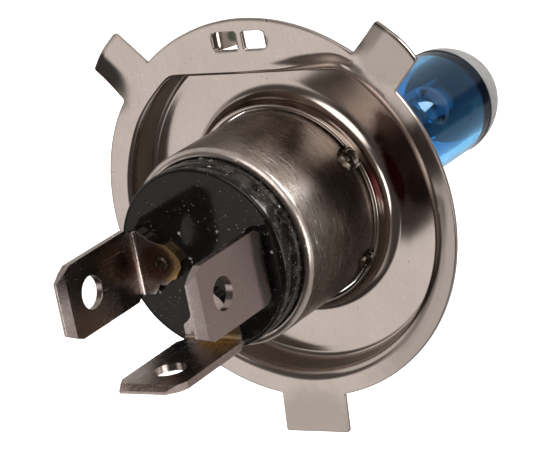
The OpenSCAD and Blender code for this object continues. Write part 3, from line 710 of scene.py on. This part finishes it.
def build_ring():
    rows = ring_rows()
    verts = [p for row in rows for p in row]
    faces = grid_faces(len(rows), len(rows[0]), close_rows=True)
    ob = piece("ring_sheet", make_mesh("ring_sheet", verts, faces, 50), "ring_metal", "focus_ring")

    def window(x0, x1, left_r, right_r):
        z0, z1 = WINDOW_Z
        return rounded([(x0, z0, left_r), (x1, z0, right_r), (x1, z1, right_r), (x0, z1, left_r)])

    def at_window(v):
        x, y, z = (c / MM for c in v.co)
        return abs(y + SHEET) < 0.08 and 17.9 < z < 20.3 and -4.1 < x < 3.0

    nick = [Vector((3.30 + 0.10 * math.cos(i * math.pi / 6), 21.25 + 0.34 * math.sin(i * math.pi / 6)))
            for i in range(12)]
    left = window(LEFT_HINGE, LEFT_END, 0.7, 0.2)
    right = window(RIGHT_END, RIGHT_HINGE, 0.2, 0.95)
    cut(ob, [cutter("left window", left, CUT_BACK, CUT_FRONT),
             cutter("right window", right, CUT_BACK, CUT_FRONT),
             cutter("nick", nick, -0.75, -0.36)])
    # broken edges round the windows, on the terminal side
    bm = bmesh.new()
    bm.from_mesh(ob.data)
    edges = [e for e in bm.edges
             if all(at_window(v) for v in e.verts) and e.is_manifold and e.calc_face_angle(0) > 1.2]
    bmesh.ops.bevel(bm, geom=edges, offset=0.05 * MM, segments=2, profile=0.5, affect="EDGES")
    bm.to_mesh(ob.data)
    bm.free()
    finish_mesh(ob.data, 50)
    ob.data.materials.clear()
    ob.data.materials.append(looks["ring_metal"])
    v, f = merged([tongue(LEFT_HINGE, 1, 0.35), tongue(RIGHT_HINGE, -1, 0.08)])
    piece("window_tongues", make_mesh("window_tongues", v, f, 50), "ring_metal", "focus_ring")


build_ring()


# ---- turned parts -------------------------------------------------------------

def lathe(profile, segments, shift=None, closed=False):
    """Rows of (radius, y) turned about Y; shift(angle, r, y) gives the final radius."""
    verts = []
    for r, y in profile:
        for k in range(segments):
            a = 2 * math.pi * k / segments
            q = shift(a, r, y) if shift and r > 0.01 else r
            verts.append((q * math.cos(a), y, q * math.sin(a)))
    return verts, grid_faces(len(profile), segments, closed)


def arc(cx, cy, r, a0, a1, n):
    """Points of an arc from a0 to a1 degrees, in n steps."""
    return [(cx + r * math.cos(math.radians(a0 + (a1 - a0) * k / n)),
             cy + r * math.sin(math.radians(a0 + (a1 - a0) * k / n))) for k in range(n + 1)]


SLEEVE_OUT, SLEEVE_IN = 10.95, 10.55
CRIMP_R, CRIMP_Y = 10.2, -11.65  # centre of the rounded crimp
FACE = -15.7                     # end face of the insulator
BOSS = 10.0                      # radius of the insulator's boss
SHOULDER = 10.48                 # radius under the crimp

# spot welds: angle, radius of the nugget, how much the sheet is drawn in
WELDS = ((30, 1.45, 1.0), (-33, 1.15, 0.8), (150, 1.3, 0.9), (213, 1.2, 0.85))


def sleeve_shift(a, r, y):
    """The sheet is drawn in slightly beside each weld, and is never quite round."""
    q = r
    for deg, size, depth in WELDS:
        d = wrap(a - math.radians(deg - 4)) * ROUND
        q -= 0.16 * depth * math.exp(-(d * d + (y + 1.6) ** 2) / (2 * (1.6 * size) ** 2))
        q += 0.05 * depth * math.exp(-((d + 3.2) ** 2 + (y + 2.0) ** 2) / 5)
    out_of_round = wobble(math.cos(a) * ROUND, y, math.sin(a) * ROUND, 0.22, 5.0)
    q += 0.018 * out_of_round * smooth(y, -12.2, -10.5)
    return q


def build_sleeve():
    prof = [(SLEEVE_OUT, 5.0), (SLEEVE_OUT, 3.0)]
    prof += [(SLEEVE_OUT, 1.4 - 0.32 * k) for k in range(41)]
    prof += arc(CRIMP_R, CRIMP_Y, 0.75, 0, -90, 10)
    prof += arc(10.14, -12.32, 0.07, -90, -180, 3) + [(10.07, -12.1), (10.12, -12.0)]
    prof += arc(CRIMP_R, CRIMP_Y, 0.35, -90, 0, 5) + [(SLEEVE_IN, 5.0)]
    v, f = lathe(prof, 360, sleeve_shift, closed=True)
    piece("sleeve_shell", make_mesh("sleeve_shell", v, f, 50), "sleeve_metal", "base_sleeve")


def build_insulator():
    axis = 0.0001                # just off the axis, merged when the mesh is finished
    prof = [(axis, FACE)] + [(r, FACE) for r in (2, 4, 6, 8, 9.4, 9.76)]
    prof += [(9.82, -15.67), (9.93, -15.55), (9.97, -15.48)]
    prof += [(BOSS, y) for y in (-15.3, -14.2, -13.0, -11.98)]
    prof += [(BOSS, -11.9), (10.4, -11.4), (SHOULDER, -11.2), (SHOULDER, -6.5), (8.4, -6.5),
             (8.4, -9.0), (axis, -9.0)]
    v, f = lathe(prof, 256)
    piece("moulded_boss", make_mesh("moulded_boss", v, f, 30), "insulator_black", "base_insulator")


build_sleeve()
build_insulator()


# ---- terminals ----------------------------------------------------------------

TIP = 30.398                     # seat plane back to the blade tips
RUN = 13.4                       # straight blade, tip to bend
HOLE = 5.3                       # tip to the middle of the hole
HOLE_R = 1.75
HALF = 0.4                       # half the thickness of the strip
BEVEL = 1.4                      # length of the thinned tip
TIP_THIN = 0.25                  # what the tip loses from each face
HALF_TIP = 2.8                   # half widths: at the tip, along the blade, and at the bend
HALF_BLADE = 4.0
HALF_NECK = 3.5
BEND_R = 0.9                     # radius of the middle of the bend
BEND = BEND_R * math.pi / 2      # length round the middle of the bend
FOOT_X = 7.1                     # distance from the axis where the foot starts, side blades
FOOT_RUN = 3.4                   # blade to the middle of its weld bead
FOOT_FACE = -16.49               # terminal side of the feet
SIDE_BLADE, LOW_BLADE = 8.0, 8.7   # distance from the axis to the middle of the blade


def inside(p, poly):
    """Whether a point is in a polygon, by counting the edges to one side of it."""
    hit = False
    n = len(poly)
    for i in range(n):
        a, b = poly[i], poly[(i + 1) % n]
        if (a[1] > p[1]) != (b[1] > p[1]):
            if p[0] < a[0] + (p[1] - a[1]) * (b[0] - a[0]) / (b[1] - a[1]):
                hit = not hit
    return hit


def blade_blank(foot, seed):
    """Flat blank: u from the tip to the end of the foot, w across, with its hole."""
    edge = [(0, HALF_TIP), (2.4, HALF_BLADE), (RUN - 0.7, HALF_BLADE), (RUN, HALF_NECK),
            (RUN + BEND, HALF_NECK)]
    outline = [(u, -w) for u, w in edge]
    outline += [(RUN + BEND + FOOT_X - x, w) for x, w in foot]
    outline += edge[::-1]
    hole = [(HOLE + HOLE_R * math.cos(i * math.pi / 28), HOLE_R * math.sin(i * math.pi / 28))
            for i in range(56)]
    pts = [Vector(p) for p in outline + hole]
    n, m = len(outline), len(hole)
    edges = [(i, (i + 1) % n) for i in range(n)] + [(n + i, n + (i + 1) % m) for i in range(m)]
    # lines across the blank keep its faces short where it is thinned and bent
    for u in [BEVEL] + [RUN + BEND * k / 16 for k in range(17)] + [3.2, 8.4, 11.0, RUN + BEND + 2]:
        edges.append((len(pts), len(pts) + 1))
        pts += [Vector((u, -5)), Vector((u, 5))]
    vs, _, fs, _, _, _ = delaunay_2d_cdt(pts, edges, [], 0, 1e-5)
    keep = []
    for f in fs:
        c = sum((vs[i] for i in f), Vector((0, 0))) / len(f)
        if inside(c, outline) and not inside(c, hole):
            keep.append(tuple(f))
    used = sorted({i for f in keep for i in f})
    index = {i: k for k, i in enumerate(used)}
    flat = [vs[i] for i in used]
    tri = [tuple(index[i] for i in f) for f in keep]
    thick = [HALF - TIP_THIN * (1 - min(p.x / BEVEL, 1)) for p in flat]
    bm = bmesh.new()
    top = [bm.verts.new((p.x, p.y, t)) for p, t in zip(flat, thick)]
    low = [bm.verts.new((p.x, p.y, -t)) for p, t in zip(flat, thick)]
    count = {}
    for f in tri:
        a = (flat[f[1]] - flat[f[0]]).cross(flat[f[2]] - flat[f[0]])
        f = f if a > 0 else f[::-1]
        bm.faces.new([top[i] for i in f])
        bm.faces.new([low[i] for i in reversed(f)])
        for i in range(3):
            e = (f[i], f[(i + 1) % 3])
            count[e] = count.get(e, 0) + 1
    for (a, b) in list(count):
        if (b, a) not in count:
            bm.faces.new((top[b], top[a], low[a], low[b]))
    bm.normal_update()
    sharp = [e for e in bm.edges if e.is_manifold and e.calc_face_angle(0) > 0.9]
    bmesh.ops.bevel(bm, geom=sharp, offset=0.07, segments=2, profile=0.5, affect="EDGES",
                    clamp_overlap=True)
    for v in bm.verts:
        v.co.z += 0.02 * wobble(v.co.x, v.co.y, 0, 0.3, seed) * smooth(v.co.x, 4.0, 6.0)
    return bm


def place_blade(name, bm, offset, turn, node):
    """Bends the blank and turns it about the lamp axis."""
    c, s = math.cos(math.radians(turn)), math.sin(math.radians(turn))
    in_x = offset - BEND_R
    for v in bm.verts:
        u, w, t = v.co
        if u < RUN:
            x, y = offset + t, u - TIP
        elif u < RUN + BEND:
            a = (u - RUN) / BEND_R
            x, y = in_x + (BEND_R + t) * math.cos(a), RUN - TIP + (BEND_R + t) * math.sin(a)
        else:
            x, y = in_x - (u - RUN - BEND), RUN - TIP + BEND_R + t
        v.co = Vector((x * c - w * s, y, x * s + w * c)) * MM
    me = bpy.data.meshes.new(name)
    bm.to_mesh(me)
    bm.free()
    finish_mesh(me, 8)
    piece(name, me, "terminal_metal", node)


def round_foot():
    """Foot narrowing to a round end, as (distance from the axis, across)."""
    cx = FOOT_X + BEND_R - FOOT_RUN
    end_r = 2.2
    pts = [(6.2, -3.45), (5.4, -2.5)]
    pts += [(cx - end_r * math.cos(a), end_r * math.sin(a))
            for a in [math.radians(d) for d in range(-80, 81, 16)]]
    return pts + [(5.4, 2.5), (6.2, 3.45)]


def ragged(points, seed):
    """Adds small torn steps between the points of a foot."""
    out = []
    for i in range(len(points) - 1):
        a, b = Vector(points[i]), Vector(points[i + 1])
        n = max(1, int((b - a).length / 0.3))
        d = (b - a).normalized()
        for k in range(n):
            p = a + (b - a) * k / n
            off = 0.10 * wobble(p.x, p.y, 0, 1.7, seed) + 0.05 * wobble(p.x, p.y, 0, 4.5, seed)
            out.append((p.x - d.y * off, p.y + d.x * off))
    return out + [points[-1]]


left_foot = ragged([(6.6, -3.1), (5.65, -2.4), (4.0, -1.95), (2.9, -1.0), (2.35, -0.1), (2.4, 0.6),
                    (3.3, 1.8), (4.1, 2.15), (4.6, 2.5), (5.4, 2.45), (5.75, 3.0), (6.2, 3.5)], 3.0)
right_foot = ragged(round_foot(), 6.0)
low_foot = ragged(round_foot(), 8.0)
place_blade("terminal_left", blade_blank(left_foot, 1.0), SIDE_BLADE, 180, "blade_left")
place_blade("terminal_right", blade_blank(right_foot, 2.0), SIDE_BLADE, 0, "blade_right")
place_blade("terminal_low", blade_blank(low_foot, 3.0), LOW_BLADE, 270, "blade_low")


# ---- welds --------------------------------------------------------------------

def dome(radius, height, seed):
    """Solidified bead, flat side down: (across, across, height) points and faces."""
    verts, rings, seg = [], 14, 40
    for i in range(rings + 1):
        q = i / rings
        for k in range(seg):
            a = 2 * math.pi * k / seg
            r = radius * q * (1 + 0.10 * wobble(math.cos(a), math.sin(a), 0, 1.3, seed))
            h = height * math.sqrt(max(1 - q ** 2.2, 0))
            h *= 1 - 0.18 * bump(q, 0.0, 0.35)
            h += 0.06 * wobble(r * math.cos(a), r * math.sin(a), 0, 2.6, seed) * (1 - q * q)
            verts.append((r * math.cos(a), r * math.sin(a), h))
    faces = grid_faces(rings + 1, seg)
    faces.append(tuple(range(rings * seg, (rings + 1) * seg)))
    return verts, faces


def build_terminal_welds():
    parts = []
    for turn, dist, seed in ((0, SIDE_BLADE, 1.0), (180, SIDE_BLADE, 5.0), (270, LOW_BLADE, 9.0)):
        c, s = math.cos(math.radians(turn)), math.sin(math.radians(turn))
        bead, f = dome(0.80, 0.55, seed)
        x0 = dist - FOOT_RUN
        v = [((x0 + p) * c - q * s, FOOT_FACE - h, (x0 + p) * s + q * c) for p, q, h in bead]
        parts.append((v, f))
    v, f = merged(parts)
    piece("terminal_beads", make_mesh("terminal_beads", v, f, 60), "weld_metal", "terminal_welds")


def build_ring_welds():
    """Nuggets over the collar's free end: sunk in the middle, ragged, and lower on the collar."""
    parts = []
    for n, (deg, size, _) in enumerate(WELDS):
        verts, rings, seg = [], 22, 64
        for i in range(rings + 1):
            q = i / rings
            for k in range(seg):
                a = 2 * math.pi * k / seg
                edge = 1 + 0.16 * wobble(math.cos(a), math.sin(a), n, 1.1, 3.0 * n)
                s, t = q * size * edge * math.cos(a), q * size * 0.86 * edge * math.sin(a)
                h = 0.34 * (1 - q ** 3) + 0.15 * bump(q, 0.62, 0.13) - 0.20 * bump(q, 0.32, 0.16)
                h += 0.10 * wobble(s, t, n, 2.4, 7.0) * (1 - q) + 0.06 * wobble(s, t, n, 6.0, 2.0)
                y = 0.35 - t
                base = 10.83 + 0.62 * smooth(y, 0.55, 1.1)
                r = base + max(h, 0) * (1 - 0.25 * smooth(y, 0.7, 1.3))
                ang = math.radians(deg) + s / ROUND
                verts.append((r * math.cos(ang), y, r * math.sin(ang)))
        faces = grid_faces(rings + 1, seg)
        faces.append(tuple(range(rings * seg, (rings + 1) * seg)))
        parts.append((verts, faces))
    v, f = merged(parts)
    piece("collar_nuggets", make_mesh("collar_nuggets", v, f, 60), "weld_metal", "ring_welds")


build_terminal_welds()
build_ring_welds()


# ---- finishes of the solids that stay ------------------------------------------

slots = {s["node"]: s["material_slot"] for s in frame["record"]["subparts"]}
for name, ob in frame["nodes"].items():
    ob.data.materials.clear()
    ob.data.materials.append(looks[slots[name]])


# ---- studio -------------------------------------------------------------------

def direction(az, el):
    """Unit vector: azimuth 0 is -Y, the terminal end, 90 is +X; elevation up."""
    a, e = math.radians(az), math.radians(el)
    return Vector((math.sin(a) * math.cos(e), -math.cos(a) * math.cos(e), math.sin(e)))


world = bpy.data.worlds.new("studio")
scene.world = world
world.use_nodes = True
wt = world.node_tree
wt.nodes.clear()
w_out = wt.nodes.new("ShaderNodeOutputWorld")
w_bg = wt.nodes.new("ShaderNodeBackground")
wt.links.new(w_bg.outputs[0], w_out.inputs[0])
w_dir = wt.nodes.new("ShaderNodeTexCoord").outputs["Generated"]

# patches of sky seen in the metal, each laid over the ones before it:
# azimuth, elevation, inner and outer half angle in degrees, level
SKY = ((-100, -16, 28, 48, (0.24, 0.22, 0.21)),
       (20, -8, 35, 52, (0.085, 0.075, 0.073)),
       (-38, 28, 18, 30, (0.12, 0.11, 0.105)),
       (-54, -46, 30, 40, (0.06, 0.052, 0.05)),
       (-34, -17, 10, 19, (1.12, 1.10, 1.08)),
       (28, 44, 18, 28, (2.9, 2.85, 2.8)),
       (68, -8, 13, 22, (4.6, 4.5, 4.4)),
       (118, -15, 8, 16, (1.7, 1.72, 1.78)),
       (134, 34, 9, 13, (20.0, 20.0, 19.6)),
       (-80, 22, 16, 28, (0.95, 0.93, 0.9)),
       (146, -16, 18, 34, (0.5, 0.45, 0.44)),
       (151, -1, 9, 15, (0.10, 0.11, 0.13)))
PLAIN_SKY = (0.60, 0.58, 0.56, 1)
level = None
for az, el, inner, outer, value in SKY:
    d = wt.nodes.new("ShaderNodeVectorMath")
    d.operation = "DOT_PRODUCT"
    wt.links.new(w_dir, d.inputs[0])
    d.inputs[1].default_value = direction(az, el)
    m = wt.nodes.new("ShaderNodeMapRange")
    m.interpolation_type = "SMOOTHSTEP"
    wt.links.new(d.outputs["Value"], m.inputs[0])
    m.inputs[1].default_value = math.cos(math.radians(outer))
    m.inputs[2].default_value = math.cos(math.radians(inner))
    x = wt.nodes.new("ShaderNodeMix")
    x.data_type = "RGBA"
    wt.links.new(m.outputs[0], x.inputs[0])
    if level is None:
        x.inputs[6].default_value = PLAIN_SKY
    else:
        wt.links.new(level, x.inputs[6])
    x.inputs[7].default_value = (*value, 1)
    level = x.outputs[2]
wt.links.new(level, w_bg.inputs[0])


def stage_object(name, verts, faces, mat):
    me = bpy.data.meshes.new(name)
    me.from_pydata(verts, [], faces)
    ob = bpy.data.objects.new(name, me)
    scene.collection.objects.link(ob)
    me.materials.append(mat)
    return ob


g = Graph("pale floor")
g.wire("Base Color", g.mix(g.noise(0.004, 3.0), (0.93, 0.93, 0.93), (0.95, 0.95, 0.95)))
g.set(Roughness=0.8, Specular_IOR_Level=0.1)
HALF_FLOOR, FLOOR_Z = 3.0, -0.07
corners = [(-HALF_FLOOR, -HALF_FLOOR), (HALF_FLOOR, -HALF_FLOOR), (HALF_FLOOR, HALF_FLOOR),
           (-HALF_FLOOR, HALF_FLOOR)]
floor = stage_object("floor", [(x, y, FLOOR_Z) for x, y in corners], [(0, 1, 2, 3)], g.mat)
floor.visible_glossy = False

g = Graph("white backdrop")
g.set(Base_Color=(0, 0, 0, 1), Emission_Color=(1, 1, 1, 1), Emission_Strength=1.05, Roughness=1.0)
BACKDROP = 4.2                   # radius
dome_v, dome_f = lathe([(BACKDROP * math.cos(math.radians(e)), BACKDROP * math.sin(math.radians(e)))
                        for e in range(-10, 91, 5)], 48)
backdrop = stage_object("backdrop", [(x, z, y) for x, y, z in dome_v], dome_f, g.mat)
backdrop.visible_diffuse = backdrop.visible_glossy = backdrop.visible_shadow = False


def softbox(name, az, el, dist, side, power):
    light = bpy.data.lights.new(name, "AREA")
    light.shape, light.size, light.energy = "SQUARE", side, power
    ob = bpy.data.objects.new(name, light)
    scene.collection.objects.link(ob)
    d = direction(az, el)
    ob.matrix_world = Matrix.Translation(d * dist) @ d.to_track_quat("Z", "Y").to_matrix().to_4x4()
    ob.visible_glossy = False


softbox("overhead", az=0, el=88, dist=1.6, side=2.2, power=42.0)


# ---- camera -------------------------------------------------------------------

AIM = Vector((-0.98, 0.0, -1.73)) * MM
DISTANCE = 0.3072
back = direction(az=34.21, el=16.29)
side = Vector((0, 0, 1)).cross(back).normalized()
above = back.cross(side)
tilt = math.radians(-11.2)       # roll about the line of sight
m = Matrix((side * math.cos(tilt) + above * math.sin(tilt),
            above * math.cos(tilt) - side * math.sin(tilt), back)).transposed().to_4x4()
m.translation = AIM + back * DISTANCE
camera = bpy.data.objects.new("camera", bpy.data.cameras.new("camera"))
scene.collection.objects.link(camera)
camera.matrix_world = m
camera.data.sensor_width = 36    # millimetres, as is the lens
camera.data.lens = 186.46
scene.camera = camera
scene.view_settings.view_transform = "Standard"
